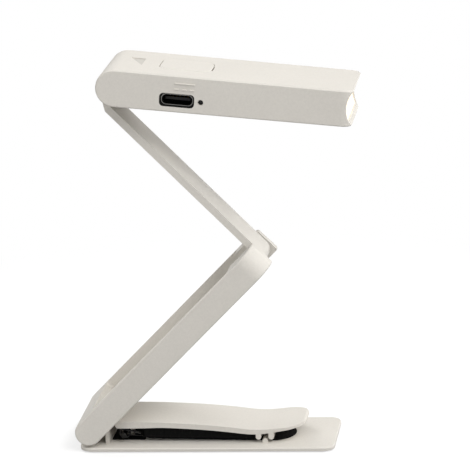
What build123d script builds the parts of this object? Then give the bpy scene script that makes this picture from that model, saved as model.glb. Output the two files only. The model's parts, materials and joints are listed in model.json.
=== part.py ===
from build123d import *
import math
import os

# Folding clip-on reading light, standing open in a Z shape on its clip.
# Lengths are in millimetres and angles in degrees.
# X runs along the base plate towards the clip's tip, Y across it, Z up.
# The origin is the centre of the base plate's underside.

# Width shared by the base plate, the lower arm and the head
body_width = 25.0

# Base plate
plate_length = 72.1
plate_thickness = 1.3
plate_tip_corner = 3.2
plate_heel_corner = 4.0
plate_edge_bevel = 0.26
plate_heel_bevel = 0.9
base_pivot_inset = 3.05
base_pivot_height = 5.8
ear_inner = 5.9
ear_thickness = 2.4
ear_radius = 2.4
ear_web_half = 1.7
stop_wall_gap = 0.35
stop_wall_thickness = 1.1
stop_wall_height = 3.6

# Fits shared by the three friction hinges
pin_radius = 0.9
running_gap = 0.05
side_gap = 0.3
swing_gap = 0.35
washer_thickness = 0.2
washer_radius = 2.1
pin_blind_depth = 1.5
pin_face_sink = 0.3

# Lower arm, with a tray on top and a deeper one underneath
lower_arm_length = 68.54
lower_arm_thickness = 7.5
lower_arm_wall = 1.3
lower_arm_overhang = 3.2
lower_arm_corner = 5.5
lower_arm_edge_bevel = 0.3
web_thickness = 0.6
fork_depth = 6.4
nest_corner = 1.0

# Upper arm, a flat bar with a knuckle at each end
bar_width = 11.0
bar_thickness = 2.0
upper_arm_length = 61.05
elbow_knuckle_radius = 2.9
head_knuckle_radius = 2.9
neck_thickness = 2.4
neck_bend = 0.8
neck_start = 58.1
neck_lean = 31.6

# Head
head_thickness = 10.3
head_nose_drop = 0.33
head_wall = 1.3
head_corner = 3.0
head_edge_bevel = 0.34
nose_hollow = 1.9
fold_gap = 0.5
hinge_bulkhead = 5.4
cover_thickness = 1.2
cover_gap = 0.12

# Charging socket and indicator on the head's near side
port_centre = 17.3
port_drop = 1.75
port_opening_length = 9.5
port_opening_height = 3.6
shell_length = 8.94
shell_height = 3.26
shell_wall = 0.3
shell_depth = 7.3
shell_inset = 0.9
tongue_length = 6.7
tongue_height = 0.7
tongue_depth = 4.6
socket_back = 1.2
indicator_place = 23.8
indicator_drop = 1.8
indicator_radius = 0.75
indicator_inset = 0.9

# Power button on the head's top
button_centre = 18.0
button_length = 14.2
button_width = 11.0
button_corner = 2.8
button_gap = 0.16
button_travel = 0.3
button_flange = 0.6
button_rise = 0.1
switch_size = 4.6
switch_height = 1.3
plunger_radius = 1.0
plunger_rise = 0.35
button_slit_width = 0.4
button_slit_near = 3.4
button_slit_far = 1.4
dimple_point = 1.9
dimple_back = 6.0
dimple_half = 3.85
dimple_depth = 0.25

# Circuit board, cell and light source inside the head
board_start = 7.2
board_end = 26.6
board_thickness = 0.8
board_side_gap = 0.2
solder_gap = 0.02
cell_start = 31.0
cell_length = 24.25
cell_gap = 0.3
cell_side_gap = 1.4
cell_thickness = 5.0
cell_corner = 1.6
tape_thickness = 0.2
light_board_thickness = 0.8
light_board_gap = 0.25
lens_depth = 3.4
lens_sink = 0.35
chip_size = 2.8
chip_height = 0.7
chip_count = 5
lens_gap = 0.12
lead_radius = 0.35

# Screws
screw_radius = 0.7
screw_head_radius = 1.2
screw_head_height = 0.7
screw_length = 5.2
boss_radius = 1.5
board_screw_radius = 0.6
board_screw_head = 1.1
board_screw_height = 0.5
board_post_radius = 1.3
board_post_near = 9.4
board_post_far = 24.2

# Clip jaw and its sprung hinge
jaw_width = 17.0
jaw_tip_corner = 6.2
jaw_thickness = 1.9
jaw_root = 8.0
jaw_reach = 59.9
jaw_root_height = 7.65
jaw_waist_place = 48.5
jaw_waist_height = 5.1
jaw_tip_height = 6.4
clip_pin_place = 9.3
clip_pin_height = 3.45
clip_pin_radius = 0.75
clip_knuckle_radius = 1.7
clip_knuckle_half = 1.6
clip_lug_width = 1.7
clip_side_gap = 0.25
tooth_width = 1.5
tooth_pitch = 3.6
tooth_drop = 1.3
tooth_rise = 1.2

# Torsion springs on the clip's pin
wire_radius = 0.25
wire_sides = 8
coil_radius = 1.32
coil_pitch = 0.95
coil_turns = 2
spring_leg = 4.6
spring_lean = 4.0

# Rubber pads that line the clip
pad_start = 15.0
pad_root_half = 4.2
pad_tip_half = 6.6
pad_end = 57.4
pad_sink = 0.4
pad_rise = 0.25
pad_corner = 1.2
pad_tooth_gap = 0.4
jaw_pad_half = 7.0
jaw_pad_end = 46.2
jaw_pad_root = 2.6
jaw_pad_tip = 2.0

# Pose in which the light stands, and how far the lower arm swings from it
lower_arm_tilt = 44.57
upper_arm_tilt = 133.26
head_tilt = -6.25
lower_arm_fall = 28.0
lower_arm_rise = 80.0

# Places worked out from the sizes above
half_width = body_width / 2
base_pivot_x = base_pivot_inset - plate_length / 2
arm_half = lower_arm_thickness / 2
head_half = head_thickness / 2
bar_half = bar_width / 2
head_offset = arm_half + fold_gap + head_half
head_inner_side = half_width - head_wall
head_floor = -head_half + cover_thickness
lead_lane = 2 * lead_radius + 2 * running_gap
boss_side = head_inner_side - boss_radius - lead_lane
boss_near = cell_start - boss_radius - cell_gap
boss_far = cell_start + cell_length + boss_radius + cell_gap
board_post_side = head_inner_side - board_post_radius - lead_lane - board_side_gap
light_board_front = boss_far + boss_radius + light_board_gap + light_board_thickness
head_length = light_board_front + lens_depth + nose_hollow
cell_width = 2 * (head_inner_side - cell_side_gap)
chip_pitch = 2 * (head_inner_side - chip_size) / (chip_count - 1)
nose_slope = math.degrees(math.atan(head_nose_drop / head_length))
fork_half = bar_half + side_gap


def along(tilt, distance):
    """The step of a distance in the X-Z plane, tilted up from X."""
    turn = math.radians(tilt)
    return Vector(distance * math.cos(turn), 0, distance * math.sin(turn))


base_pivot = Vector(base_pivot_x, 0, base_pivot_height)
elbow_pivot = base_pivot + along(lower_arm_tilt, lower_arm_length)
head_pivot = (
    elbow_pivot
    + along(upper_arm_tilt, upper_arm_length)
    + along(upper_arm_tilt - 90, head_offset)
)
clip_pivot = Vector(base_pivot_x + clip_pin_place, 0, clip_pin_height)

lower_arm_frame = Pos(*base_pivot) * Rot(0, -lower_arm_tilt, 0)
upper_arm_frame = Pos(*elbow_pivot) * Rot(0, -upper_arm_tilt, 0) * Rot(180, 0, 0)
head_frame = Pos(*head_pivot) * Rot(0, -head_tilt, 0)
clip_frame = Pos(base_pivot_x, 0, 0)


def block(x_from, x_to, y_from, y_to, z_from, z_to):
    """A box between two corners."""
    size = (x_to - x_from, y_to - y_from, z_to - z_from)
    middle = ((x_from + x_to) / 2, (y_from + y_to) / 2, (z_from + z_to) / 2)
    return Pos(*middle) * Box(*size)


def cross_rod(x, z, radius, y_from, y_to):
    """A cylinder that lies across, along Y."""
    rod = Rot(90, 0, 0) * Cylinder(radius, y_to - y_from)
    return Pos(x, (y_from + y_to) / 2, z) * rod


def upright_rod(x, y, radius, z_from, z_to):
    """A cylinder that stands along Z."""
    return Pos(x, y, (z_from + z_to) / 2) * Cylinder(radius, z_to - z_from)


def cross_slab(face, y_from, y_to):
    """A face drawn in X and Z, given its width along Y."""
    slab = extrude(Plane.XZ * face, amount=(y_to - y_from) / 2, both=True)
    return Pos(0, (y_from + y_to) / 2, 0) * slab


def closed_face(*edges):
    """A flat face inside a ring of edges."""
    return make_face(Wire(list(edges)))


def sector(radius, from_angle, to_angle):
    """A pie slice about the origin, for the sweep of a turning part."""
    middle = (from_angle + to_angle) / 2
    start = Vector(radius, 0).rotate(Axis.Z, from_angle)
    bulge = Vector(radius, 0).rotate(Axis.Z, middle)
    stop = Vector(radius, 0).rotate(Axis.Z, to_angle)
    rim = ThreePointArc(start, bulge, stop)
    return closed_face(Line((0, 0), start), rim, Line(stop, (0, 0)))


def both_sides(piece):
    """A piece and its mirror image across the light's middle plane."""
    return [piece, mirror(piece, about=Plane.XZ)]


def hinge_washers(pivot_frame, inner_face):
    """Two thin friction washers that lie against a hinge's inner faces."""
    outer = cross_rod(0, 0, washer_radius, inner_face - washer_thickness, inner_face)
    hole = cross_rod(0, 0, pin_radius + running_gap, 0, inner_face + washer_thickness)
    return [pivot_frame * ring for ring in both_sides(outer - hole)]


def hinge_pin(pivot_frame):
    """A steel pin that enters from the far side and stops inside the near wall."""
    pin = cross_rod(0, 0, pin_radius, pin_blind_depth - half_width, half_width - pin_face_sink)
    tips = pin.edges().filter_by(GeomType.CIRCLE)
    return pivot_frame * chamfer(tips, pin_radius / 6)


def pin_bore(radius):
    """The hole for a hinge pin, open on the far side."""
    return cross_rod(0, 0, radius, pin_blind_depth - half_width, half_width + 1)


# Base plate with its hinge ears, stop wall, clip knuckle and tooth
def plate_blank():
    """The flat plate with its rounded corners."""
    plate = Box(plate_length, body_width, plate_thickness)
    plate = Pos(0, 0, plate_thickness / 2) * plate
    uprights = plate.edges().filter_by(Axis.Z).group_by(Axis.X)
    plate = fillet(uprights[0], plate_heel_corner)
    uprights = plate.edges().filter_by(Axis.Z).group_by(Axis.X)
    plate = fillet(uprights[-1], plate_tip_corner)
    rim = plate.faces().sort_by(Axis.Z)[-1].edges()
    plate = chamfer(rim, plate_edge_bevel)
    heel = plate.faces().sort_by(Axis.Z)[0].edges().sort_by(Axis.X)[:3]
    return chamfer(heel, plate_thickness / 4, plate_heel_bevel)


def hinge_ear():
    """One upright ear that carries the lower arm's pin."""
    top = cross_rod(base_pivot_x, base_pivot_height, ear_radius, ear_inner, ear_inner + ear_thickness)
    web = block(
        base_pivot_x - ear_web_half,
        base_pivot_x + ear_web_half,
        ear_inner,
        ear_inner + ear_thickness,
        plate_thickness / 2,
        base_pivot_height,
    )
    return top + web


def rib_tooth(x, z_root, z_tip, half_length):
    """A rounded rib that runs across the clip."""
    lift = math.copysign(tooth_width / 2, z_tip - z_root)
    crest = cross_rod(x, z_tip - lift, tooth_width / 2, -half_length, half_length)
    lower = min(z_root, z_tip - lift)
    upper = max(z_root, z_tip - lift)
    stem = block(x - tooth_width / 2, x + tooth_width / 2, -half_length, half_length, lower, upper)
    return crest + stem


def base_plate():
    """The plate, with everything that is moulded onto it."""
    body = plate_blank()
    for ear in both_sides(hinge_ear()):
        body += ear
    wall_from = base_pivot_x + arm_half + stop_wall_gap
    body += block(
        wall_from,
        wall_from + stop_wall_thickness,
        -jaw_width / 2,
        jaw_width / 2,
        plate_thickness / 2,
        plate_thickness + stop_wall_height,
    )
    tooth_x = base_pivot_x + jaw_waist_place + tooth_pitch / 4
    body += rib_tooth(tooth_x, plate_thickness / 2, plate_thickness + tooth_rise, jaw_width / 2)
    knuckle = cross_rod(
        clip_pivot.X,
        clip_pivot.Z,
        clip_knuckle_radius,
        -clip_knuckle_half,
        clip_knuckle_half,
    )
    knuckle += block(
        clip_pivot.X - clip_knuckle_radius,
        clip_pivot.X + clip_knuckle_radius,
        -clip_knuckle_half,
        clip_knuckle_half,
        plate_thickness / 2,
        clip_pivot.Z,
    )
    body += knuckle
    body -= Pos(*base_pivot) * pin_bore(pin_radius)
    body -= cross_rod(clip_pivot.X, clip_pivot.Z, clip_pin_radius, -jaw_width, jaw_width)
    return body - pad_shape()


def pad_shape():
    """The pad's tapered plan with its round end, in two pieces beside the tooth."""
    round_from = pad_end - pad_tip_half
    outline = make_face(
        Polyline(
            (pad_start, -pad_root_half),
            (round_from, -pad_tip_half),
            (round_from, pad_tip_half),
            (pad_start, pad_root_half),
            close=True,
        )
    )
    outline = fillet(outline.vertices().group_by(Axis.X)[0], pad_corner)
    outline += Pos(round_from, 0) * Circle(pad_tip_half)
    low = plate_thickness - pad_sink
    pad = Pos(0, 0, low) * extrude(outline, amount=pad_sink + pad_rise)
    tooth_x = jaw_waist_place + tooth_pitch / 4
    half = tooth_width / 2 + pad_tooth_gap
    gap = block(tooth_x - half, tooth_x + half, -half_width, half_width, 0, base_pivot_height)
    return clip_frame * (pad - gap)


# Clip jaw, a thin leaf that dips to its teeth and lifts to a lead-in lip
def jaw_line(drop):
    """The jaw's long curve from root to tip, lowered by a thickness."""
    dip = jaw_root_height - jaw_waist_height
    knots = [
        (jaw_root, jaw_root_height),
        (jaw_root + (jaw_waist_place - jaw_root) / 3, jaw_root_height - dip / 8),
        (jaw_root + (jaw_waist_place - jaw_root) * 2 / 3, jaw_waist_height + dip * 3 / 8),
        (jaw_waist_place, jaw_waist_height),
        ((jaw_waist_place + jaw_reach) / 2, (jaw_waist_height + 2 * jaw_tip_height) / 3 - dip / 8),
        (jaw_reach, jaw_tip_height),
    ]
    return Spline([(x, z - drop) for x, z in knots], tangents=[(1, 0), (1, 0.2)])


def jaw_leaf():
    """The curved leaf with its rounded tip."""
    top = jaw_line(0)
    bottom = jaw_line(jaw_thickness)
    root = ThreePointArc(
        bottom @ 0,
        (jaw_root - jaw_thickness / 2, jaw_root_height - jaw_thickness / 2),
        top @ 0,
    )
    tip = ThreePointArc(
        top @ 1,
        (jaw_reach + jaw_thickness / 2, jaw_tip_height - jaw_thickness / 2),
        bottom @ 1,
    )
    leaf = cross_slab(closed_face(top, tip, bottom, root), -jaw_width / 2, jaw_width / 2)
    length = jaw_reach + jaw_thickness / 2
    plan = Rectangle(length, jaw_width)
    ends = plan.vertices().group_by(Axis.X)[-1]
    plan = fillet(ends, jaw_tip_corner)
    tall = jaw_root_height + jaw_tip_height
    return leaf & extrude(Pos(length / 2, 0, 0) * plan, amount=tall)


def jaw_lug():
    """One lug that hangs from the jaw to the clip's pin."""
    y_from = clip_knuckle_half + clip_side_gap
    y_to = y_from + clip_lug_width
    lug = cross_rod(clip_pin_place, clip_pin_height, clip_knuckle_radius, y_from, y_to)
    return lug + block(
        clip_pin_place - clip_knuckle_radius,
        clip_pin_place + clip_knuckle_radius,
        y_from,
        y_to,
        clip_pin_height,
        jaw_root_height - jaw_thickness / 2,
    )


def clip_jaw():
    """The jaw with its lugs and its pair of teeth."""
    body = jaw_leaf()
    for lug in both_sides(jaw_lug()):
        body += lug
    first = jaw_waist_place - tooth_pitch / 4
    waist = jaw_waist_height - jaw_thickness
    for x in (first, first + tooth_pitch):
        body += rib_tooth(x, waist + jaw_thickness / 2, waist - tooth_drop, jaw_width / 2)
    body -= cross_rod(
        clip_pin_place,
        clip_pin_height,
        clip_pin_radius + running_gap,
        -jaw_width,
        jaw_width,
    )
    return clip_frame * body


def jaw_pad():
    """The rubber wedge that fills the jaw's hollow side, flat underneath."""
    top = jaw_line(jaw_thickness)
    strip = closed_face(
        top,
        Line(top @ 1, (jaw_reach, jaw_pad_tip)),
        Line((jaw_reach, jaw_pad_tip), (jaw_pad_end, jaw_pad_tip)),
        Line((jaw_pad_end, jaw_pad_tip), (pad_start, jaw_pad_root)),
        Line((pad_start, jaw_pad_root), (jaw_root, jaw_pad_root)),
        Line((jaw_root, jaw_pad_root), top @ 0),
    )
    pad = cross_slab(strip, -jaw_pad_half, jaw_pad_half)
    window = block(pad_start, jaw_pad_end, -body_width, body_width, 0, jaw_root_height)
    return clip_frame * (pad & window)


def clip_pin():
    """The steel pin of the clip, which also carries the springs."""
    half = jaw_width / 2 - clip_side_gap
    pin = cross_rod(clip_pivot.X, clip_pivot.Z, clip_pin_radius, -half, half)
    return chamfer(pin.edges().filter_by(GeomType.CIRCLE), clip_pin_radius / 6)


def biarc(start, start_way, stop, stop_way):
    """Two arcs that join two points smoothly in given directions."""
    reach = stop - start
    ways = start_way + stop_way
    spread = 2 * (1 - start_way.dot(stop_way))
    pull = reach.dot(ways)
    arm = (math.sqrt(pull * pull + spread * reach.dot(reach)) - pull) / spread
    first = start + start_way * arm
    second = stop - stop_way * arm
    middle = (first + second) / 2
    return [
        TangentArc(start, middle, tangent=start_way),
        TangentArc(middle, stop, tangent=second - first),
    ]


def clip_spring():
    """A torsion spring beside the clip's lug, with a leg to the plate and one to the jaw."""
    y_start = clip_knuckle_half + clip_side_gap + clip_lug_width + clip_side_gap + wire_radius
    total = 360 * coil_turns + 180 + 2 * spring_lean
    steps = 2 * coil_turns + 1

    def place(step):
        turn = math.radians(-90 - spring_lean - total * step / steps)
        across = y_start + coil_pitch * total / 360 * step / steps
        return Vector(coil_radius * math.cos(turn), across, coil_radius * math.sin(turn))

    def way(step):
        turn = math.radians(-90 - spring_lean - total * step / steps)
        climb = coil_pitch / (2 * math.pi)
        return Vector(coil_radius * math.sin(turn), climb, -coil_radius * math.cos(turn)).normalized()

    path = [Line(place(0) - way(0) * spring_leg, place(0))]
    for step in range(steps):
        path += biarc(place(step), way(step), place(step + 1), way(step + 1))
    path.append(Line(place(steps), place(steps) + way(steps) * spring_leg))
    turns = [place(step / 8) for step in range(8 * steps + 1)]
    apart = 8 * steps // (2 * coil_turns + 1)
    gap = min((a - b).length for i, a in enumerate(turns) for b in turns[i + apart :]) - 2 * wire_radius
    print("clip spring's least gap to itself", round(gap, 3))
    wire = Wire(path)
    section = Plane(origin=path[0] @ 0, z_dir=way(0)) * RegularPolygon(wire_radius, wire_sides)
    return Pos(*clip_pivot) * sweep(section, path=wire)


# Lower arm
def lower_arm():
    """The arm's walls and web: the upper arm nests on top and the clip underneath."""
    end = lower_arm_length + lower_arm_overhang
    outer = cross_rod(0, 0, arm_half, -half_width, half_width)
    outer += block(0, end, -half_width, half_width, -arm_half, arm_half)
    outer = fillet(outer.edges().filter_by(Axis.Z).group_by(Axis.X)[-1], lower_arm_corner)
    rims = outer.faces().filter_by(Axis.Y).edges().filter_by(Axis.X)
    outer = chamfer(rims, lower_arm_edge_bevel)

    side = half_width - lower_arm_wall
    web_top = elbow_knuckle_radius - bar_thickness - side_gap
    inner_end = end - lower_arm_wall
    hollow = block(0, inner_end, -side, side, -arm_half - 1, web_top - web_thickness)
    uprights = hollow.edges().filter_by(Axis.Z).group_by(Axis.X)[-1]
    hollow = fillet(uprights, lower_arm_corner - lower_arm_wall)
    hollow -= cross_rod(0, 0, arm_half, -half_width, half_width)
    for side_of in (-1, 1):
        cheek = sorted((side_of * fork_half, side_of * (fork_half + ear_thickness)))
        hollow -= block(lower_arm_length - arm_half, end, *cheek, -arm_half, arm_half)
    body = outer - hollow

    nest_start = lower_arm_length - upper_arm_length - neck_thickness / 2 - side_gap * 2
    nest_end = lower_arm_length - fork_depth
    nest = block(nest_start, nest_end, -side, side, web_top, arm_half + 1)
    body -= fillet(nest.edges().filter_by(Axis.Z), nest_corner)
    body -= block(nest_end - nest_corner, end + 1, -fork_half, fork_half, web_top, arm_half + 1)
    notch_start = lower_arm_length - elbow_knuckle_radius - swing_gap
    body -= block(notch_start, end + 1, -fork_half, fork_half, -arm_half - 1, arm_half + 1)
    body -= lower_arm_slots()
    body -= pin_bore(pin_radius + running_gap)
    body -= Pos(lower_arm_length, 0, 0) * pin_bore(pin_radius)
    return lower_arm_frame * body


def lower_arm_slots():
    """The two slots in the round end that let the arm swing past the base ears."""
    open_way = 270 - lower_arm_tilt - lower_arm_rise
    shut_way = 270 - lower_arm_tilt + lower_arm_fall
    y_from = ear_inner - side_gap
    y_to = ear_inner + ear_thickness + side_gap
    reach = arm_half + 1
    slot = cross_slab(sector(reach, open_way, shut_way), y_from, y_to)
    for way in (open_way, shut_way):
        half = ear_web_half + side_gap
        slot += Rot(0, -way, 0) * block(0, reach, y_from, y_to, -half, half)
    slot += cross_rod(0, 0, ear_radius + side_gap, y_from, y_to)
    pair = both_sides(slot)
    return pair[0] + pair[1]


# Upper arm
def upper_arm_side():
    """The bar's side outline, with the leaning heel and the neck at its far end."""
    inner = elbow_knuckle_radius - bar_thickness
    outer = elbow_knuckle_radius
    near = upper_arm_length - neck_thickness / 2
    far = upper_arm_length + neck_thickness / 2
    heel_top = inner + (far - neck_start) * math.tan(math.radians(neck_lean))
    outline = make_face(
        Polyline(
            (0, inner),
            (neck_start, inner),
            (far, heel_top),
            (far, head_offset),
            (near, head_offset),
            (near, outer),
            (0, outer),
            close=True,
        )
    )
    bends = outline.vertices().sort_by(Axis.X)
    bends = [v for v in bends if inner - running_gap < v.Y < head_offset - 1 and v.X > neck_start - 1]
    return fillet(bends, neck_bend)


def upper_arm():
    """The flat bar, its elbow knuckle and the bent neck that enters the head."""
    body = cross_slab(upper_arm_side(), -bar_half, bar_half)
    body += cross_rod(0, 0, elbow_knuckle_radius, -bar_half, bar_half)
    body += cross_rod(upper_arm_length, head_offset, head_knuckle_radius, -bar_half, bar_half)
    body -= cross_rod(0, 0, pin_radius + running_gap, -body_width, body_width)
    body -= cross_rod(upper_arm_length, head_offset, pin_radius + running_gap, -body_width, body_width)
    return upper_arm_frame * body


# Head shell
def head_face(inset, end):
    """The head's side outline, drawn in from its outer surface."""
    radius = head_half - inset
    turn = math.radians(nose_slope)
    bend = (radius * math.sin(turn), radius * math.cos(turn))
    nose_top = head_roof(end, inset)
    return closed_face(
        Line((0, -radius), (end, -radius)),
        Line((end, -radius), (end, nose_top)),
        Line((end, nose_top), bend),
        ThreePointArc(bend, (-radius, 0), (0, -radius)),
    )


def head_roof(u, inset):
    """Height of the head's sloping top at a distance from the pivot."""
    turn = math.radians(nose_slope)
    return (head_half - inset) / math.cos(turn) - u * math.tan(turn)


def nose_cutter(depth):
    """The hollow across the nose, as a cylinder that bites to a depth."""
    half_chord = head_half - head_nose_drop / 2
    radius = (half_chord * half_chord + nose_hollow * nose_hollow) / (2 * nose_hollow)
    middle = -head_nose_drop / 2
    return cross_rod(head_length - depth + radius, middle, radius, -body_width, body_width)


def port_outline(length, height, y_from, y_to):
    """A rounded slot through the head's near side."""
    slot = extrude(Plane.XZ * SlotOverall(length, height), amount=(y_to - y_from) / 2, both=True)
    return Pos(port_centre, (y_from + y_to) / 2, -port_drop) * slot


def head_housing():
    """The one-piece shell: top, sides, round end, lips at the nose and bosses."""
    outer = cross_slab(head_face(0, head_length), -half_width, half_width)
    outer = fillet(outer.edges().filter_by(Axis.Z).group_by(Axis.X)[-1], head_corner)
    sides = outer.faces().filter_by(Axis.Y).edges()
    outer = chamfer(sides.filter_by(Axis.Z, reverse=True), head_edge_bevel)
    hollow = cross_slab(head_face(head_wall, head_length + 1), -head_inner_side, head_inner_side)
    cover_end = light_board_front
    hollow += block(
        hinge_bulkhead,
        cover_end,
        -head_inner_side,
        head_inner_side,
        -head_half - 1,
        0,
    )
    body = outer - hollow
    for place in cover_screw_places():
        body += upright_rod(*place, boss_radius, head_floor, head_roof(place[0], head_wall / 2))
    for place in board_screw_places():
        body += upright_rod(*place, board_post_radius, board_top(), head_roof(place[0], head_wall / 2))
    for boss in both_sides(hinge_boss()):
        body += boss
    body += hinge_wall()
    body -= neck_slot()
    body -= pin_bore(pin_radius)
    body -= nose_cutter(nose_hollow)
    outside, inside = -half_width - 1, 1 - head_inner_side
    body -= port_outline(port_opening_length, port_opening_height, outside, inside)
    body -= cross_rod(indicator_place, -indicator_drop, indicator_radius, outside, inside)
    body -= button_outline(button_gap, 0, head_half + 1)
    body -= button_slit()
    body -= dimple()
    for place in cover_screw_places():
        body -= upright_rod(*place, screw_radius, head_floor - 1, head_floor + screw_length)
    for place in board_screw_places():
        post_end = head_roof(place[0], head_wall) - side_gap
        body -= upright_rod(*place, board_screw_radius, board_top() - 1, post_end)
    return head_frame * body


def hinge_boss():
    """One of the two solid bosses that hold the pin beside the knuckle."""
    return cross_rod(0, 0, head_half - head_wall / 2, fork_half, head_inner_side + head_wall / 2)


def neck_slot():
    """The gap in the round end and floor that the neck swings through."""
    edge = neck_thickness / 2 + swing_gap
    window = block(-head_thickness, edge, -fork_half, fork_half, -head_thickness, edge)
    return window + cross_rod(0, 0, head_knuckle_radius + swing_gap, -fork_half, fork_half)


def hinge_wall():
    """The wall that closes the hinge's space off from the rest of the head."""
    u_from = head_knuckle_radius + swing_gap
    side = head_inner_side + head_wall / 2
    low = head_wall / 2 - head_half
    return block(u_from, hinge_bulkhead, -side, side, low, head_roof(hinge_bulkhead, head_wall / 2))


def board_top():
    """Height of the circuit board's upper face."""
    return shell_height / 2 - port_drop + solder_gap + board_thickness


def board_screw_places():
    """The two posts that hold the board, on the far side of the head."""
    return [(board_post_near, board_post_side), (board_post_far, board_post_side)]


def cover_screw_places():
    """The four corners where the cover is screwed on."""
    return [(u, y) for u in (boss_near, boss_far) for y in (-boss_side, boss_side)]


def button_outline(grow, z_from, z_to):
    """The button's rounded plan, grown by a gap, between two heights."""
    plan = RectangleRounded(button_length + 2 * grow, button_width + 2 * grow, button_corner + grow)
    return Pos(button_centre, 0, z_from) * extrude(plan, amount=z_to - z_from)


def button_slit():
    """The narrow slot beside the button's far end."""
    edge = button_centre + button_length / 2
    return block(edge, edge + button_slit_width, -button_slit_near, button_slit_far, 0, head_half + 1)


def dimple():
    """A plain three-sided hollow in the head's top, over the hinge."""
    corners = [(dimple_point, dimple_half), (dimple_back, -dimple_half), (dimple_back, dimple_half)]
    plan = make_face(Polyline(*corners, close=True))
    floor = head_roof(dimple_point, 0) - dimple_depth
    return Pos(0, 0, floor) * extrude(plan, amount=1)


def head_cover():
    """The plate that closes the head from below, with sunk screw heads."""
    side = head_inner_side - cover_gap
    u_from = hinge_bulkhead + cover_gap
    u_to = light_board_front - cover_gap
    body = block(u_from, u_to, -side, side, -head_half, head_floor)
    for place in cover_screw_places():
        body -= upright_rod(*place, screw_head_radius + cover_gap, -head_half - 1, screw_seat())
        body -= upright_rod(*place, screw_radius + running_gap, -head_half - 1, head_half)
    return head_frame * body


def screw_seat():
    """Height on which the cover screws' heads seat."""
    return -head_half + screw_head_height + cover_gap


def cover_screws():
    """Four screws that hold the cover."""
    screws = []
    for place in cover_screw_places():
        head = upright_rod(*place, screw_head_radius, screw_seat() - screw_head_height, screw_seat())
        shank = upright_rod(*place, screw_radius, screw_seat(), head_floor + screw_length - side_gap)
        slot = block(
            place[0] - screw_head_radius,
            place[0] + screw_head_radius,
            place[1] - running_gap * 3,
            place[1] + running_gap * 3,
            -head_half,
            screw_seat() - screw_head_height / 2,
        )
        screws.append(head_frame * (head + shank - slot))
    return screws


def board_screws():
    """Two screws that hold the circuit board to its posts."""
    under = board_top() - board_thickness
    screws = []
    for place in board_screw_places():
        head = upright_rod(*place, board_screw_head, under - board_screw_height, under)
        top = head_roof(place[0], head_wall) - 2 * side_gap
        screws.append(head_frame * (head + upright_rod(*place, board_screw_radius, under, top)))
    return screws


# Electrical pieces inside the head
def circuit_board():
    """The main board, over the socket and under the button."""
    top = board_top()
    side = head_inner_side - board_side_gap
    board = block(board_start, board_end, -side, side, top - board_thickness, top)
    for place in board_screw_places():
        board -= upright_rod(*place, board_screw_radius + running_gap, top - board_thickness - 1, top + 1)
    return head_frame * board


def socket_shell():
    """The metal shell of the charging socket."""
    y_from = -half_width + shell_inset
    outer = port_outline(shell_length, shell_height, y_from, y_from + shell_depth)
    inner_length = shell_length - 2 * shell_wall
    inner_height = shell_height - 2 * shell_wall
    inner = port_outline(inner_length, inner_height, y_from - 1, y_from + shell_depth + 1)
    return head_frame * (outer - inner)


def socket_core():
    """The plastic block at the back of the socket and its flat tongue."""
    y_back = -half_width + shell_inset + shell_depth
    inner_length = shell_length - 2 * shell_wall
    inner_height = shell_height - 2 * shell_wall
    plug = port_outline(inner_length, inner_height, y_back - socket_back, y_back)
    tongue = block(
        port_centre - tongue_length / 2,
        port_centre + tongue_length / 2,
        y_back - socket_back - tongue_depth,
        y_back - socket_back,
        -port_drop - tongue_height / 2,
        -port_drop + tongue_height / 2,
    )
    return head_frame * (plug + tongue)


def charge_chip():
    """The charging chip under the board, behind the socket."""
    under = board_top() - board_thickness
    size = shell_height
    middle = port_centre
    return head_frame * block(middle - size / 2, middle + size / 2, 0, size, under - chip_height, under)


def indicator_light():
    """The small indicator lamp under the board, in line with its window."""
    under = board_top() - board_thickness
    y_from = -half_width + indicator_inset + indicator_pipe_length()
    return head_frame * block(
        indicator_place - indicator_radius,
        indicator_place + indicator_radius,
        y_from,
        y_from + 2 * indicator_radius,
        -indicator_drop - indicator_radius,
        under,
    )


def indicator_pipe_length():
    """Length of the light pipe from its window to the indicator lamp."""
    return shell_depth / 2


def indicator_window():
    """The clear pipe that shows the indicator lamp at the head's side."""
    y_from = -half_width + indicator_inset
    radius = indicator_radius - running_gap
    y_to = y_from + indicator_pipe_length()
    return head_frame * cross_rod(indicator_place, -indicator_drop, radius, y_from, y_to)


def switch_top():
    """Height of the switch's body top."""
    return board_top() + switch_height


def tact_switch():
    """The push switch on the board under the button."""
    half = switch_size / 2
    body = block(button_centre - half, button_centre + half, -half, half, board_top(), switch_top())
    well_floor = board_top() + switch_height / 3
    well = upright_rod(button_centre, 0, plunger_radius + running_gap, well_floor, switch_top() + 1)
    return head_frame * (body - well)


def switch_plunger():
    """The switch's round plunger, which the button pushes down."""
    bottom = board_top() + switch_height / 3 + button_travel + running_gap
    return head_frame * upright_rod(button_centre, 0, plunger_radius, bottom, switch_top() + plunger_rise)


def power_button():
    """The button cap, its retaining flange and the stem over the switch."""
    roof = head_roof(button_centre + button_length / 2, head_wall) - side_gap / 3
    cap = button_outline(0, roof - button_flange, head_half + 1)
    cap -= cross_slab(button_skin(), -body_width, body_width)
    cap = chamfer(button_rim(cap), button_gap)
    flange = button_outline(button_gap + button_flange, roof - button_flange, roof)
    stem = upright_rod(button_centre, 0, plunger_radius, switch_top() + plunger_rise, roof - button_flange)
    return head_frame * (cap + flange + stem)


def button_skin():
    """All that lies above the button's top, which follows the head's slope."""
    near = button_centre - button_length
    far = button_centre + button_length
    return closed_face(
        Line((near, head_roof(near, -button_rise)), (far, head_roof(far, -button_rise))),
        Line((far, head_roof(far, -button_rise)), (far, head_thickness)),
        Line((far, head_thickness), (near, head_thickness)),
        Line((near, head_thickness), (near, head_roof(near, -button_rise))),
    )


def button_rim(cap):
    """The edges round the button's top face."""
    return cap.faces().sort_by(Axis.Z)[-1].edges()


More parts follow.
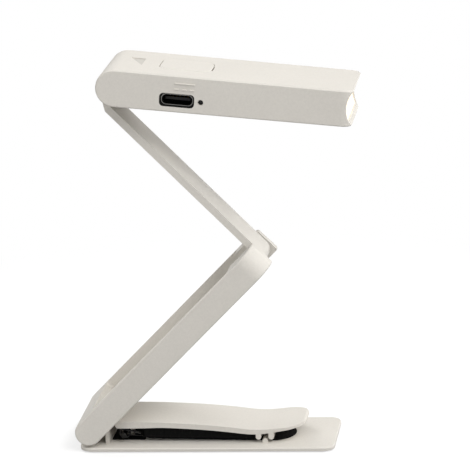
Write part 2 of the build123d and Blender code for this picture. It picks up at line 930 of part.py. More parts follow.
def battery_cell():
    """The flat cell in its pouch, with its folded end."""
    z_from = head_floor + tape_thickness
    half = cell_width / 2
    cell = block(cell_start, cell_start + cell_length, -half, half, z_from, z_from + cell_thickness)
    cell = fillet(cell.edges().filter_by(Axis.X), cell_corner)
    return head_frame * cell


def battery_tape():
    """The foam tape that sticks the cell to the cover."""
    half = cell_width / 2 - cell_corner
    u_from = cell_start + cell_corner
    u_to = cell_start + cell_length - cell_corner
    return head_frame * block(u_from, u_to, -half, half, head_floor, head_floor + tape_thickness)


def light_board():
    """The small upright board that carries the light chips."""
    front = light_board_front
    side = head_inner_side - board_side_gap
    top = head_roof(front, head_wall) - board_side_gap
    bottom = -head_half + head_wall + board_side_gap
    return head_frame * block(front - light_board_thickness, front, -side, side, bottom, top)


def light_chips():
    """The row of light chips on the light board."""
    front = light_board_front
    middle = -head_nose_drop / 2
    chips = []
    for place in range(chip_count):
        y = (place - (chip_count - 1) / 2) * chip_pitch
        chips.append(
            head_frame
            * block(
                front,
                front + chip_height,
                y - chip_size / 2,
                y + chip_size / 2,
                middle - chip_size / 2,
                middle + chip_size / 2,
            )
        )
    return chips


def light_lens():
    """The frosted lens that fills the nose, hollow like the nose itself."""
    back = light_board_front + chip_height + light_board_gap
    side = head_inner_side - lens_gap
    lens = cross_slab(head_face(head_wall + lens_gap, head_length), -side, side)
    lens &= block(back, head_length, -half_width, half_width, -head_half, head_half)
    lens -= nose_cutter(nose_hollow + lens_sink)
    return head_frame * lens


def light_leads():
    """Two insulated leads along the far side, from the main board to the light board."""
    y = head_inner_side - lead_radius - running_gap
    u_from = board_post_far
    u_to = light_board_front - light_board_thickness
    leads = []
    for step in range(2):
        z = board_top() + lead_radius + step * (2 * lead_radius + running_gap)
        lead = Pos((u_from + u_to) / 2, y, z) * Rot(0, 90, 0) * Cylinder(lead_radius, u_to - u_from)
        leads.append(head_frame * lead)
    return leads


def solids_of(shape):
    """The separate solids of a piece or a group of pieces."""
    pieces = shape if isinstance(shape, list) else [shape]
    return [solid for piece in pieces for solid in piece.solids()]


def write_node(name, shape):
    """Writes one named piece, or one group of like pieces, as a STEP file."""
    solids = solids_of(shape)
    body = solids[0] if len(solids) == 1 else Compound(solids)
    export_step(body, os.path.join("parts", name + ".step"))


base_hinge_frame = Pos(*base_pivot)
elbow_frame = lower_arm_frame * Pos(lower_arm_length, 0, 0)

nodes = {
    "base_plate": base_plate(),
    "base_hinge_pin": hinge_pin(base_hinge_frame),
    "base_hinge_washers": hinge_washers(base_hinge_frame, ear_inner),
    "base_grip_pad": pad_shape(),
    "clip_jaw": clip_jaw(),
    "jaw_grip_pad": jaw_pad(),
    "clip_pin": clip_pin(),
    "clip_springs": both_sides(clip_spring()),
    "lower_arm": lower_arm(),
    "elbow_pin": hinge_pin(elbow_frame),
    "elbow_washers": hinge_washers(elbow_frame, fork_half),
    "upper_arm": upper_arm(),
    "head_housing": head_housing(),
    "head_cover": head_cover(),
    "cover_screws": cover_screws(),
    "head_hinge_pin": hinge_pin(head_frame),
    "head_hinge_washers": hinge_washers(head_frame, fork_half),
    "main_board": circuit_board(),
    "board_screws": board_screws(),
    "charge_socket_shell": socket_shell(),
    "charge_socket_core": socket_core(),
    "charge_chip": charge_chip(),
    "indicator_light": indicator_light(),
    "indicator_window": indicator_window(),
    "tact_switch": tact_switch(),
    "switch_plunger": switch_plunger(),
    "power_button": power_button(),
    "battery_cell": battery_cell(),
    "battery_tape": battery_tape(),
    "light_board": light_board(),
    "light_chips": light_chips(),
    "light_lens": light_lens(),
    "light_leads": light_leads(),
}

os.makedirs("parts", exist_ok=True)
for node_name, node_shape in nodes.items():
    write_node(node_name, node_shape)
pivots = {"base": base_pivot, "elbow": elbow_pivot, "head": head_pivot, "clip": clip_pivot}
for label, pivot in pivots.items():
    print(label, "pivot", [round(value, 3) for value in pivot])
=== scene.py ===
import json
import math

import bmesh
import bpy
from mathutils import Matrix, Vector

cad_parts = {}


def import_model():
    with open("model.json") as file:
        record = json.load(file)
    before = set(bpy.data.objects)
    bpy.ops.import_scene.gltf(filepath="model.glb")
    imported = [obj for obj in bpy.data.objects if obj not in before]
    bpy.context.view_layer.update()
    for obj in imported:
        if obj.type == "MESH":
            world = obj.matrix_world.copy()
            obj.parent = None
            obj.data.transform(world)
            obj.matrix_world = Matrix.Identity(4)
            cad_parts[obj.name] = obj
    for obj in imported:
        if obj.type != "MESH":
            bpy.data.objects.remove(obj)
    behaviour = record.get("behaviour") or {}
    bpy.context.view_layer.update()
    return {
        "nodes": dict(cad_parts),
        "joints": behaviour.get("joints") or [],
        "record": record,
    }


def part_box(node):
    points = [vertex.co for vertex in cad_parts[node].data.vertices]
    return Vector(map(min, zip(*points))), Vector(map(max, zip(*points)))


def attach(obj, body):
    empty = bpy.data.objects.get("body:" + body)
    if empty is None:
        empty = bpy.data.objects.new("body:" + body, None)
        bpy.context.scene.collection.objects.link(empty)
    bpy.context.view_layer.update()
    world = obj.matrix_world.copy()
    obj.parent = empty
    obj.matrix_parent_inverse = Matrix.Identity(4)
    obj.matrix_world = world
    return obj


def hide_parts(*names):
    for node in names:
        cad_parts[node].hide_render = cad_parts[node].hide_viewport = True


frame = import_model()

# Sizes are in millimetres and angles in degrees, unless a comment says otherwise
MM = 0.001

nodes = frame["nodes"]
joints = {joint["name"]: joint for joint in frame["joints"]}
slot_of = {entry["node"]: entry["material_slot"] for entry in frame["record"]["subparts"]}


def hinge_x(name):
    """A hinge's place along the plate."""
    return joints[name]["pos_m"][0] / MM


# The head's own axes: u along it and v up from its hinge, y as in the frame
HEAD_UP = -Vector(joints["power_button_push"]["axis"]).normalized()
ACROSS = Vector((0, 1, 0))
HEAD_AXES = Matrix((ACROSS.cross(HEAD_UP), ACROSS, HEAD_UP)).transposed().to_4x4()
HEAD_PLACE = Matrix.Translation(joints["head_hinge"]["pos_m"]) @ HEAD_AXES
HEAD_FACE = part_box("head_housing")[0][1] / MM

# Camera at the photo's place, with its focal length and frame in pixels
FOCAL_PIXELS = 2779
FRAME_PIXELS = 470
SENSOR_WIDTH = 36
AZIMUTH, ELEVATION, ROLL = 8.39, 16.2, -3.15
DISTANCE = 770.2
TARGET = Vector((9.86, 0.0, 59.55))
CLIP_NEAR, CLIP_FAR = 10, 20000


def show(obj):
    """Puts an object in the scene."""
    bpy.context.scene.collection.objects.link(obj)


def direction(azimuth, elevation):
    """The way from the object out to a viewer or lamp; azimuth 0 is the front."""
    az, el = math.radians(azimuth), math.radians(elevation)
    return Vector((math.sin(az) * math.cos(el), -math.cos(az) * math.cos(el), math.sin(el)))


def camera():
    """A camera on a sphere about the target, rolled to match the photo."""
    back = direction(AZIMUTH, ELEVATION)
    roll = math.radians(ROLL)
    right = (-back).cross(Vector((0, 0, 1))).normalized()
    up = right.cross(-back)
    side = right * math.cos(roll) + up * math.sin(roll)
    top = -right * math.sin(roll) + up * math.cos(roll)
    data = bpy.data.cameras.new("camera")
    data.sensor_width = SENSOR_WIDTH
    data.lens = SENSOR_WIDTH * FOCAL_PIXELS / FRAME_PIXELS
    data.clip_start = CLIP_NEAR * MM
    data.clip_end = CLIP_FAR * MM
    eye = bpy.data.objects.new("camera", data)
    axes = Matrix((side, top, back)).transposed().to_4x4()
    eye.matrix_world = Matrix.Translation((TARGET + back * DISTANCE) * MM) @ axes
    show(eye)
    bpy.context.scene.camera = eye


# Node helpers. Noise scales are per metre, relief heights in metres and colours linear
FIELD_LOW, FIELD_HIGH = 0.3, 0.7


def set_sockets(made, **values):
    """Sets inputs of a node by name, with underscores for spaces."""
    for name, value in values.items():
        made.inputs[name.replace("_", " ")].default_value = value


def material(name):
    """A fresh node material with its node tree and principled shader."""
    mat = bpy.data.materials.new(name)
    mat.use_nodes = True
    shader = next(n for n in mat.node_tree.nodes if n.type == "BSDF_PRINCIPLED")
    return mat, mat.node_tree, shader


def node(tree, kind, **values):
    """A node with some of its inputs set."""
    made = tree.nodes.new(kind)
    set_sockets(made, **values)
    return made


def object_place(tree):
    """The place on the object, the same at rest and in every pose."""
    return tree.nodes.new("ShaderNodeTexCoord").outputs["Object"]


def noise(tree, scale, detail=3.0, roughness=0.5):
    """A noise field over the object. Most of it lies between FIELD_LOW and FIELD_HIGH."""
    made = node(tree, "ShaderNodeTexNoise", Scale=scale, Detail=detail, Roughness=roughness)
    tree.links.new(object_place(tree), made.inputs["Vector"])
    return made.outputs["Fac"]


def mixed(tree, first, second, share):
    """Two fields in one, with a share of the second."""
    made = node(tree, "ShaderNodeMix", Factor=share)
    tree.links.new(first, made.inputs["A"])
    tree.links.new(second, made.inputs["B"])
    return made.outputs["Result"]


def ramp(tree, field, stops):
    """A colour ramp over a field."""
    made = tree.nodes.new("ShaderNodeValToRGB")
    band = made.color_ramp
    for element, (position, colour) in zip(band.elements, (stops[0], stops[-1])):
        element.position, element.color = position, colour
    for position, colour in stops[1:-1]:
        band.elements.new(position).color = colour
    tree.links.new(field, made.inputs["Fac"])
    return made.outputs["Color"]


def spread(tree, field, low, high):
    """A value between a low and a high limit, from a field."""
    made = node(tree, "ShaderNodeMapRange", From_Min=FIELD_LOW, From_Max=FIELD_HIGH, To_Min=low, To_Max=high)
    tree.links.new(field, made.inputs["Value"])
    return made.outputs["Result"]


def tone(colour, factor):
    """A colour made lighter or darker."""
    return tuple(min(1.0, c * factor) for c in colour[:3]) + (1.0,)


def tint(tree, shader, field, colour, darkest, lightest):
    """Colours the surface, darker and lighter with a field."""
    stops = [(FIELD_LOW, tone(colour, darkest)), (FIELD_HIGH, tone(colour, lightest))]
    tree.links.new(ramp(tree, field, stops), shader.inputs["Base Color"])


def gloss(tree, shader, field, low, high):
    """Varies the surface's roughness with a field."""
    tree.links.new(spread(tree, field, low, high), shader.inputs["Roughness"])


def bump(tree, shader, field, height, strength, under=None):
    """Relief from a field, on top of any relief under it."""
    made = node(tree, "ShaderNodeBump", Strength=strength, Distance=height)
    tree.links.new(field, made.inputs["Height"])
    if under is not None:
        tree.links.new(under, made.inputs["Normal"])
    tree.links.new(made.outputs["Normal"], shader.inputs["Normal"])
    return made.outputs["Normal"]


# Materials
def moulded(name, colour, rough=0.45, grain=0.000008, patch=0.045, shine=0.42):
    """Moulded plastic: a fine spark-eroded grain, faint flow patches and uneven gloss."""
    mat, tree, shader = material(name)
    flow = noise(tree, scale=55, detail=4, roughness=0.55)
    mottle = noise(tree, scale=1700, detail=2, roughness=0.6)
    fine = noise(tree, scale=5200, detail=2, roughness=0.6)
    tint(tree, shader, mixed(tree, flow, mottle, share=0.6), colour, darkest=1 - patch, lightest=1 + patch)
    gloss(tree, shader, fine, low=rough - 0.05, high=rough + 0.07)
    set_sockets(shader, Specular_IOR_Level=shine)
    bump(tree, shader, fine, height=grain, strength=0.5)
    return mat


def metal(name, colour, rough, stretch):
    """Machined or drawn metal: fine marks, long where the stretch is small, and dull patches."""
    mat, tree, shader = material(name)
    set_sockets(shader, Metallic=1.0)
    stretched = node(tree, "ShaderNodeMapping", Scale=stretch)
    tree.links.new(object_place(tree), stretched.inputs["Vector"])
    marks = node(tree, "ShaderNodeTexNoise", Scale=9000.0, Detail=2.0)
    tree.links.new(stretched.outputs["Vector"], marks.inputs["Vector"])
    tint(tree, shader, noise(tree, scale=400), colour, darkest=0.86, lightest=1.08)
    gloss(tree, shader, marks.outputs["Fac"], low=rough - 0.08, high=rough + 0.12)
    bump(tree, shader, marks.outputs["Fac"], height=0.00001, strength=0.4)
    return mat


def rubber(name, colour, bloom):
    """Dull rubber with fine cross ribs and a dusty bloom."""
    mat, tree, shader = material(name)
    dust = noise(tree, scale=1400, detail=5, roughness=0.7)
    stops = [(0.35, tone(colour, 0.8)), (0.62, tone(colour, 1.5)), (0.8, tone(bloom, 1.0))]
    tree.links.new(ramp(tree, dust, stops), shader.inputs["Base Color"])
    gloss(tree, shader, dust, low=0.7, high=0.92)
    set_sockets(shader, Specular_IOR_Level=0.1)
    ribs = node(tree, "ShaderNodeTexWave", Scale=160.0, Distortion=0.0)
    ribs.wave_type = "BANDS"
    ribs.bands_direction = "X"
    tree.links.new(object_place(tree), ribs.inputs["Vector"])
    relief = bump(tree, shader, ribs.outputs["Fac"], height=0.00012, strength=0.8)
    bump(tree, shader, dust, height=0.00003, strength=0.5, under=relief)
    return mat


def board(name, colour, trace):
    """A circuit board: solder mask over raised copper tracks."""
    mat, tree, shader = material(name)
    cells = node(tree, "ShaderNodeTexBrick", Scale=420.0, Mortar_Size=0.035)
    set_sockets(cells, Color1=tone(colour, 1.0), Color2=tone(colour, 1.25), Mortar=tone(trace, 1.0))
    tree.links.new(object_place(tree), cells.inputs["Vector"])
    tree.links.new(cells.outputs["Color"], shader.inputs["Base Color"])
    gloss(tree, shader, noise(tree, scale=2500, detail=2), low=0.28, high=0.42)
    bump(tree, shader, cells.outputs["Fac"], height=0.00004, strength=0.6)
    return mat


def pouch(name, colour):
    """Laminated foil with soft wrinkles."""
    mat, tree, shader = material(name)
    set_sockets(shader, Metallic=0.75)
    wrinkle = noise(tree, scale=260, detail=5, roughness=0.65)
    tint(tree, shader, wrinkle, colour, darkest=0.88, lightest=1.08)
    gloss(tree, shader, wrinkle, low=0.25, high=0.5)
    bump(tree, shader, wrinkle, height=0.0002, strength=0.6)
    return mat


def frosted(name, colour, glow, strength):
    """A frosted lens that is lit warm from behind, a little unevenly."""
    mat, tree, shader = material(name)
    set_sockets(shader, Subsurface_Weight=0.3, Subsurface_Scale=0.002, Emission_Color=glow)
    tint(tree, shader, noise(tree, scale=900), colour, darkest=0.97, lightest=1.0)
    frost = noise(tree, scale=6000, detail=2)
    gloss(tree, shader, frost, low=0.45, high=0.65)
    light = spread(tree, noise(tree, scale=220, detail=2), strength * 0.85, strength * 1.1)
    tree.links.new(light, shader.inputs["Emission Strength"])
    bump(tree, shader, frost, height=0.00002, strength=0.5)
    return mat


def clear(name, colour, rough):
    """Tinted clear plastic with faint swirls."""
    mat, tree, shader = material(name)
    set_sockets(shader, Transmission_Weight=0.85, IOR=1.49)
    tint(tree, shader, noise(tree, scale=1500, detail=2), colour, darkest=0.9, lightest=1.1)
    gloss(tree, shader, noise(tree, scale=4000, detail=2), low=rough, high=rough + 0.1)
    return mat


WHITE = (0.655, 0.625, 0.573)
SHADE_BLACK = (0.003, 0.003, 0.003)
DUST = (0.008, 0.0077, 0.0074)
WARM_LIGHT = (1.0, 0.87, 0.68, 1.0)
CHIP_LIGHT = (1.0, 0.62, 0.25, 1.0)
MARKS_ACROSS = (1.0, 0.05, 1.0)
MARKS_UPRIGHT = (1.0, 1.0, 0.1)
MARKS_SHORT = (1.0, 1.0, 0.3)

# The record's slots: the maker, the colour and what else the maker takes
RECIPES = {
    "shell_white": (moulded, WHITE),
    "button_white": (moulded, tone(WHITE, 1.03), 0.4),
    "pin_steel": (metal, (0.035, 0.034, 0.033), 0.38, MARKS_ACROSS),
    "spring_steel": (metal, (0.05, 0.05, 0.05), 0.4, MARKS_SHORT),
    "screw_steel": (metal, (0.12, 0.12, 0.125), 0.4, MARKS_UPRIGHT),
    # Socket shell's steel, made dark as painted shade of the recess it sits in
    "socket_steel": (metal, (0.06, 0.058, 0.055), 0.3, MARKS_ACROSS),
    "washer_plastic": (moulded, (0.5, 0.49, 0.46), 0.35),
    "grip_rubber": (rubber, (0.0035, 0.0035, 0.0034), DUST),
    "board_green": (board, (0.01, 0.09, 0.03), (0.03, 0.2, 0.07)),
    "board_white": (board, (0.66, 0.66, 0.63), (0.5, 0.48, 0.42)),
    "socket_black": (moulded, (0.012, 0.012, 0.013), 0.4),
    "chip_black": (moulded, (0.018, 0.018, 0.02), 0.5),
    "indicator_lamp": (clear, (0.75, 0.72, 0.65), 0.1),
    # The indicator's clear window drawn as opaque black plastic: painted shade of the dark hole it sits in
    "indicator_clear": (moulded, SHADE_BLACK, 0.3),
    "plunger_grey": (moulded, (0.06, 0.06, 0.06), 0.45),
    "cell_pouch": (pouch, (0.52, 0.53, 0.55)),
    "foam_tape": (moulded, (0.62, 0.62, 0.6), 0.8, 0.00004, 0.06),
    "chip_yellow": (frosted, (0.9, 0.65, 0.15), CHIP_LIGHT, 0.5),
    "lens_frosted": (frosted, (0.35, 0.32, 0.28), WARM_LIGHT, 1.1),
    "lead_red": (moulded, (0.33, 0.01, 0.008), 0.4),
}
finishes = {name: maker(name, *values) for name, (maker, *values) in RECIPES.items()}


def dress(name, obj):
    """Gives a CAD node the finish of its slot."""
    finish = finishes[slot_of[name]]
    if not obj.data.materials:
        obj.data.materials.append(finish)
    for index in range(len(obj.data.materials)):
        obj.data.materials[index] = finish


for name, obj in nodes.items():
    dress(name, obj)


# Helpers for new pieces
def piece(name, make, finish, body, matrix=None):
    """A new mesh object that rides on a body."""
    mesh = bpy.data.meshes.new(name)
    bm = bmesh.new()
    make(bm)
    bm.to_mesh(mesh)
    bm.free()
    mesh.materials.append(finish)
    obj = bpy.data.objects.new(name, mesh)
    if matrix is not None:
        obj.matrix_world = matrix
    show(obj)
    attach(obj, body)


def bar(bm, low, high, edge, segments=2):
    """A box between two corners, with rounded edges."""
    middle = (Vector(low) + Vector(high)) / 2 * MM
    size = (Vector(high) - Vector(low)) * MM
    matrix = Matrix.Translation(middle) @ Matrix.Diagonal((*size, 1))
    made = bmesh.ops.create_cube(bm, size=1.0, matrix=matrix)
    edges = list({e for v in made["verts"] for e in v.link_edges})
    bmesh.ops.bevel(
        bm,
        geom=edges,
        offset=edge * MM,
        segments=segments,
        profile=0.5,
        affect="EDGES",
        clamp_overlap=True,
    )


# Raised direct-current mark beside the socket, a little lighter than the shell as a painted highlight on its
# top
MARK_START, MARK_END = 16.53, 22.11
LINE_LEVEL, DASH_LEVEL = 2.74, 1.15
DASH_MIDDLES = (17.10, 19.26, 21.31)
DASH_HALF = 0.62
STROKE = 0.38
MARK_RISE, MARK_ROOT = 0.28, 0.05
MARK_EDGE = 0.12


def current_mark(bm):
    """A line over three dashes."""
    front, root = HEAD_FACE - MARK_RISE, HEAD_FACE + MARK_ROOT
    strokes = [(MARK_START, MARK_END, LINE_LEVEL)]
    strokes += [(middle - DASH_HALF, middle + DASH_HALF, DASH_LEVEL) for middle in DASH_MIDDLES]
    for start, end, level in strokes:
        bar(bm, (start, front, level), (end, root, level + STROKE), MARK_EDGE)


# Shell white made lighter: painted highlight on the raised mark
mark_highlight_white = moulded("mark_highlight_white", tone(WHITE, 1.06), 0.4)
piece("current_mark", current_mark, mark_highlight_white, "head", HEAD_PLACE)

# Thin black sheet under the clip's springs: partly the grip pads' rubber, partly painted shade of the deep
# gap there
BED_START, BED_END = -27.6, -18.1
BED_HALF = 5.6
BED_BOTTOM, BED_TOP = 1.28, 1.36
BED_EDGE = 0.02
KNUCKLE_ROOM = 1.9
KNUCKLE_SIDE = 1.75


def spring_shade_bed(bm):
    """Two strips on the plate, one on each side of the clip's knuckle, joined before and behind it."""
    near = hinge_x("clip_hinge") - KNUCKLE_ROOM
    far = hinge_x("clip_hinge") + KNUCKLE_ROOM
    for start, end, inner in ((BED_START, near, 0.0), (near, far, KNUCKLE_SIDE), (far, BED_END, 0.0)):
        for side in (-1, 1):
            y_from, y_to = sorted((side * inner, side * BED_HALF))
            bar(bm, (start, y_from, BED_BOTTOM), (end, y_to, BED_TOP), BED_EDGE, segments=1)


# Black rubber finish on the sheet, which also paints the shade of the gap under the jaw
piece("spring_shade_bed", spring_shade_bed, finishes["grip_rubber"], "base")

# Matt, darker floor of the hollow in the head's sloping top, its darkness painted shade of the hollow, with
# its corners as (u, y)
HEAD_HALF = 5.15
NOSE_DROP = 0.33
HEAD_LENGTH = 64.95
HOLLOW_POINT = 1.9
HOLLOW_DEPTH = 0.25
HOLLOW_FLOOR = HEAD_HALF - HOLLOW_POINT * NOSE_DROP / HEAD_LENGTH - HOLLOW_DEPTH
SKIN_CORNERS = ((2.05, 3.75), (5.95, -3.5), (5.95, 3.75))
SKIN_HALF = 0.02


def dimple_shade_floor(bm):
    """A three-sided skin on the hollow's floor, darker as painted shade."""
    levels = (HOLLOW_FLOOR - SKIN_HALF, HOLLOW_FLOOR + SKIN_HALF)
    low, high = ([bm.verts.new(Vector((u, y, level)) * MM) for u, y in SKIN_CORNERS] for level in levels)
    bm.faces.new(high)
    bm.faces.new(list(reversed(low)))
    for first in range(len(SKIN_CORNERS)):
        second = (first + 1) % len(SKIN_CORNERS)
        bm.faces.new((low[first], low[second], high[second], high[first]))


# Shell white made darker for the hollow's floor: painted shade
dimple_shade = moulded("dimple_shade", tone(WHITE, 0.8), 0.7)
piece("dimple_shade_floor", dimple_shade_floor, dimple_shade, "head", HEAD_PLACE)

# Charging socket: its middle as (u, v), and its shell's two ends
PORT_PLACE, PORT_LEVEL = 17.3, -1.75
SOCKET_MOUTH, SOCKET_END = (corner[1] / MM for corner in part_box("charge_socket_shell"))

# Socket's lip, a painted highlight, and its sleeve of painted shade: length, height and corner radius of
# each outline
LIP_OUTER = (8.68, 3.0, 1.3)
LIP_INNER = (8.42, 2.74, 1.2)
LIP_PROUD, LIP_FALL, LIP_ROOT = 0.03, 0.02, 0.05
SHADE_SLEEVE_OUTER = (9.56, 3.68, 1.1)
SHADE_SLEEVE_RIM = (9.4, 3.5, 1.7)
SHADE_SLEEVE_THROAT = (8.86, 3.18, 1.58)
SHADE_SLEEVE_BACK = (9.6, 3.7, 1.8)
SHADE_SLEEVE_SKIN = 0.02
CORNER_STEPS = 8


def rounded_ring(bm, length, height, radius, y):
    """Points round a rounded rectangle about the socket's middle."""
    ring = []
    for corner, (side_u, side_v) in enumerate(((1, -1), (1, 1), (-1, 1), (-1, -1))):
        for step in range(CORNER_STEPS + 1):
            turn = math.radians(90 * (corner - 1 + step / CORNER_STEPS))
            u = PORT_PLACE + side_u * (length / 2 - radius) + math.cos(turn) * radius
            v = PORT_LEVEL + side_v * (height / 2 - radius) + math.sin(turn) * radius
            ring.append(bm.verts.new(Vector((u, y, v)) * MM))
    return ring


def ring_solid(bm, sections):
    """A closed ring through rounded rectangles: length, height, corner radius and y."""
    rings = [rounded_ring(bm, *section) for section in sections]
    count = len(rings[0])
    for first, ring in enumerate(rings):
        other = rings[(first + 1) % len(rings)]
        for k in range(count):
            after = (k + 1) % count
            bm.faces.new((ring[k], ring[after], other[after], other[k]))
    bmesh.ops.recalc_face_normals(bm, faces=bm.faces)


def socket_highlight_lip(bm):
    """A bright steel lip at the mouth of the socket's shell: a painted highlight on the shell's inner edge.
    """
    front, back = SOCKET_MOUTH - LIP_PROUD, SOCKET_MOUTH + LIP_ROOT
    sections = (
        (*LIP_OUTER, front),
        (*LIP_INNER, front + LIP_FALL),
        (*LIP_INNER, back),
        (*LIP_OUTER, back),
    )
    ring_solid(bm, sections)


def socket_shade_sleeve(bm):
    """A black skin of painted shade that lines the opening and squares its corners on the face."""
    sections = (
        (*SHADE_SLEEVE_OUTER, HEAD_FACE + SHADE_SLEEVE_SKIN),
        (*SHADE_SLEEVE_OUTER, HEAD_FACE - SHADE_SLEEVE_SKIN),
        (*SHADE_SLEEVE_RIM, HEAD_FACE - SHADE_SLEEVE_SKIN),
        (*SHADE_SLEEVE_THROAT, SOCKET_MOUTH - SHADE_SLEEVE_SKIN),
        (*SHADE_SLEEVE_BACK, SOCKET_MOUTH - SHADE_SLEEVE_SKIN / 2),
    )
    ring_solid(bm, sections)


# A brighter copy of the shell's steel on the lip: painted highlight of its inner edge
lip_highlight_steel = metal("lip_highlight_steel", (0.42, 0.41, 0.39), 0.3, MARKS_ACROSS)
piece("socket_highlight_lip", socket_highlight_lip, lip_highlight_steel, "head", HEAD_PLACE)
# Black lining of the opening's wall: painted shade of the gap round the socket
shade_sleeve_black = moulded("shade_sleeve_black", SHADE_BLACK, 0.55, shine=0.15)
piece("socket_shade_sleeve", socket_shade_sleeve, shade_sleeve_black, "head", HEAD_PLACE)

# Contacts on the socket's tongue
CONTACTS = 6
CONTACT_PITCH = 1.0
CONTACT_HALF = 0.28
CONTACT_RISE = 0.03
CONTACT_EDGE = 0.01
CONTACT_FROM, CONTACT_TO = 4.3, 0.1
SOCKET_BLOCK = 1.2
TONGUE_HALF = 0.35


def socket_contacts(bm):
    """A row of gilt contacts on each side of the tongue, in front of the block that carries it."""
    block_face = SOCKET_END - SOCKET_BLOCK
    y_from, y_to = block_face - CONTACT_FROM, block_face - CONTACT_TO
    for side in (-1, 1):
        level = PORT_LEVEL + side * TONGUE_HALF
        v_from, v_to = sorted((level, level + side * CONTACT_RISE))
        for count in range(CONTACTS):
            middle = PORT_PLACE + (count - (CONTACTS - 1) / 2) * CONTACT_PITCH
            low = (middle - CONTACT_HALF, y_from, v_from)
            high = (middle + CONTACT_HALF, y_to, v_to)
            bar(bm, low, high, CONTACT_EDGE, segments=1)


gilt = metal("gilt_contact", (0.75, 0.52, 0.18), 0.25, MARKS_ACROSS)
piece("socket_contacts", socket_contacts, gilt, "head", HEAD_PLACE)

# Clip's jaw, by distance u from the base hinge and height z
JAW_THICKNESS = 1.9

# Line from which depths are measured: the solid's top, or 0.4 under it where the lip starts
DEPTH_LINE = ((8.0, 7.65), (21.5, 7.33), (35.0, 6.06), (48.5, 5.1), (54.2, 5.21), (59.9, 6.4))

# What the shown jaw changes: a rise over the bend and a thinner leaf, as in the photo
BEND_PLACE, BEND_RISE = 39.0, 0.5
BEND_REACH_ROOT, BEND_REACH_TIP = 11.8, 7.3
LEAF_CUT, LEAF_CUT_FROM, LEAF_CUT_TO = 0.4, 12.0, 22.0
TIP_CUT, TIP_CUT_FROM, TIP_CUT_TO = 0.8, 43.0, 59.0
TEETH_FROM, TEETH_TO = 46.0, 53.0
TEETH_RISE = 0.38

# Depths as shares of the thickness
TOP_SIDE, UNDER_SIDE = 0.2, 0.8
BELOW_LEAF, PAD_FIXED = 1.12, 1.3


def soft_step(low, high, value):
    """A soft step from 0 to 1 between two places."""
    t = min(1.0, max(0.0, (value - low) / (high - low)))
    return t * t * (3 - 2 * t)


def height_at(points, u):
    """The height at a place on the line through points, level beyond its ends."""
    if u <= points[0][0]:
        return points[0][1]
    for (u0, z0), (u1, z1) in zip(points, points[1:]):
        if u <= u1:
            return z0 + (z1 - z0) * (u - u0) / (u1 - u0)
    return points[-1][1]


def jaw_depth(u, z):
    """How far a point is under the depth line, as a share of the thickness."""
    return (height_at(DEPTH_LINE, u) - z) / JAW_THICKNESS


def jaw_lift(u):
    """How far the whole leaf rises over the bend."""
    reach = BEND_REACH_ROOT if u < BEND_PLACE else BEND_REACH_TIP
    return BEND_RISE * math.exp(-(((u - BEND_PLACE) / reach) ** 2))


def jaw_cut(u):
    """How much thinner the leaf gets."""
    leaf = LEAF_CUT * soft_step(LEAF_CUT_FROM, LEAF_CUT_TO, u)
    return leaf + TIP_CUT * soft_step(TIP_CUT_FROM, TIP_CUT_TO, u)


def leaf_rise(u, z):
    """The rise of a point of the leaf, most on its underside, or of its teeth."""
    depth = jaw_depth(u, z)
    if depth > BELOW_LEAF and TEETH_FROM < u < TEETH_TO:
        return TEETH_RISE
    return jaw_lift(u) + jaw_cut(u) * soft_step(TOP_SIDE, UNDER_SIDE, depth)


def pad_rise(u, z):
    """The rise of a point of the jaw's pad, whose top follows the leaf's underside."""
    return (jaw_lift(u) + jaw_cut(u)) * (1 - soft_step(BELOW_LEAF, PAD_FIXED, jaw_depth(u, z)))


def reshaped(name, source, rise):
    """A copy that stands for a node of the jaw, with its points raised."""
    mesh = nodes[source].data.copy()
    mesh.name = name
    for vertex in mesh.vertices:
        u = vertex.co.x / MM - hinge_x("base_hinge")
        vertex.co.z += rise(u, vertex.co.z / MM) * MM
    obj = bpy.data.objects.new(name, mesh)
    show(obj)
    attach(obj, "clip_jaw")
    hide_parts(source)


reshaped("slim_jaw", "clip_jaw", leaf_rise)
reshaped("slim_jaw_pad", "jaw_grip_pad", pad_rise)

# Floor, surroundings and lamps, in metres
FLOOR_HALF = 3.0
FLOOR_CELLS = 8
FLOOR_DROP = 0.00002
FLOOR_GREY = (0.45, 0.45, 0.45)
FLOOR_LIFT = 0.55
SHADOW_NEAR, SHADOW_END = 0.09, 0.2
WORLD_LIGHT = 0.4
WORLD_SEEN = 1.0
PLAIN_WHITE = (1, 1, 1, 1)
LAMP_AIM = Vector((0, 0, 0.05))
LAMP_DISTANCE = 1.3
LAMP_SIZE = 0.6

# Each lamp's azimuth, elevation and power in watts, set to bring out the photo's tones
LAMPS = {
    "key": (45, 45, 7.2),
    "side": (90, 45, 5.8),
    "top": (0, 70, 2.1),
    "front_left": (315, 15, 2.8),
    "back_left": (225, 45, 4.9),
    "back_right": (135, 15, 4.4),
}


def mix_shaders(tree, factor, first, second):
    """One shader where a factor is 0 and another where it is 1."""
    made = tree.nodes.new("ShaderNodeMixShader")
    for source, socket in zip((factor, first, second), made.inputs):
        tree.links.new(source, socket)
    return made.outputs[0]


def floor_seen(tree, surface):
    """What the camera sees: a brighter floor with the shadow near the object, plain white beyond."""
    lift = node(tree, "ShaderNodeEmission", Strength=FLOOR_LIFT)
    white = node(tree, "ShaderNodeEmission", Strength=1.0)
    lifted = tree.nodes.new("ShaderNodeAddShader")
    tree.links.new(surface, lifted.inputs[0])
    tree.links.new(lift.outputs[0], lifted.inputs[1])
    away = tree.nodes.new("ShaderNodeVectorMath")
    away.operation = "LENGTH"
    tree.links.new(object_place(tree), away.inputs[0])
    reach = node(tree, "ShaderNodeMapRange", From_Min=SHADOW_NEAR, From_Max=SHADOW_END)
    reach.interpolation_type = "SMOOTHSTEP"
    tree.links.new(away.outputs["Value"], reach.inputs["Value"])
    return mix_shaders(tree, reach.outputs["Result"], lifted.outputs[0], white.outputs[0])


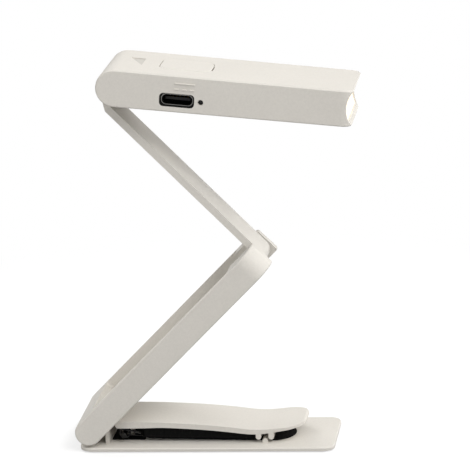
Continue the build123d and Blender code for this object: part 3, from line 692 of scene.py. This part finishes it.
def floor_finish():
    """A matt grey floor that the camera sees as white, with a shadow on it."""
    mat, tree, shader = material("floor")
    tint(tree, shader, noise(tree, scale=3, detail=2), FLOOR_GREY, darkest=0.995, lightest=1.0)
    set_sockets(shader, Roughness=0.9, Specular_IOR_Level=0.1)
    surface = shader.outputs[0]
    rays = tree.nodes.new("ShaderNodeLightPath").outputs["Is Camera Ray"]
    out = next(n for n in tree.nodes if n.type == "OUTPUT_MATERIAL")
    tree.links.new(mix_shaders(tree, rays, surface, floor_seen(tree, surface)), out.inputs["Surface"])
    return mat


def stage():
    """A wide pale floor, just under the plate."""
    mesh = bpy.data.meshes.new("floor")
    bm = bmesh.new()
    bmesh.ops.create_grid(bm, x_segments=FLOOR_CELLS, y_segments=FLOOR_CELLS, size=FLOOR_HALF)
    bm.to_mesh(mesh)
    bm.free()
    mesh.materials.append(floor_finish())
    floor = bpy.data.objects.new("floor", mesh)
    floor.location = (0, 0, -FLOOR_DROP)
    show(floor)


def world():
    """Even white surroundings, plain white where the camera sees them."""
    made = bpy.data.worlds.new("world")
    bpy.context.scene.world = made
    made.use_nodes = True
    tree = made.node_tree
    tree.nodes.clear()
    rays = tree.nodes.new("ShaderNodeLightPath")
    seen = tree.nodes.new("ShaderNodeMath")
    seen.operation = "MAXIMUM"
    tree.links.new(rays.outputs["Is Camera Ray"], seen.inputs[0])
    tree.links.new(rays.outputs["Is Transmission Ray"], seen.inputs[1])
    dim = node(tree, "ShaderNodeBackground", Strength=WORLD_LIGHT, Color=PLAIN_WHITE)
    plain = node(tree, "ShaderNodeBackground", Strength=WORLD_SEEN, Color=PLAIN_WHITE)
    out = tree.nodes.new("ShaderNodeOutputWorld")
    shown = mix_shaders(tree, seen.outputs[0], dim.outputs[0], plain.outputs[0])
    tree.links.new(shown, out.inputs["Surface"])


def lamp(name, azimuth, elevation, power):
    """A soft square lamp that looks at the object."""
    data = bpy.data.lights.new(name, "AREA")
    data.size = LAMP_SIZE
    data.energy = power
    away = direction(azimuth, elevation)
    obj = bpy.data.objects.new(name, data)
    obj.location = LAMP_AIM + away * LAMP_DISTANCE
    obj.rotation_euler = (-away).to_track_quat("-Z", "Y").to_euler()
    show(obj)


camera()
stage()
world()
for name, values in LAMPS.items():
    lamp(name, *values)

bpy.context.scene.view_settings.view_transform = "Standard"
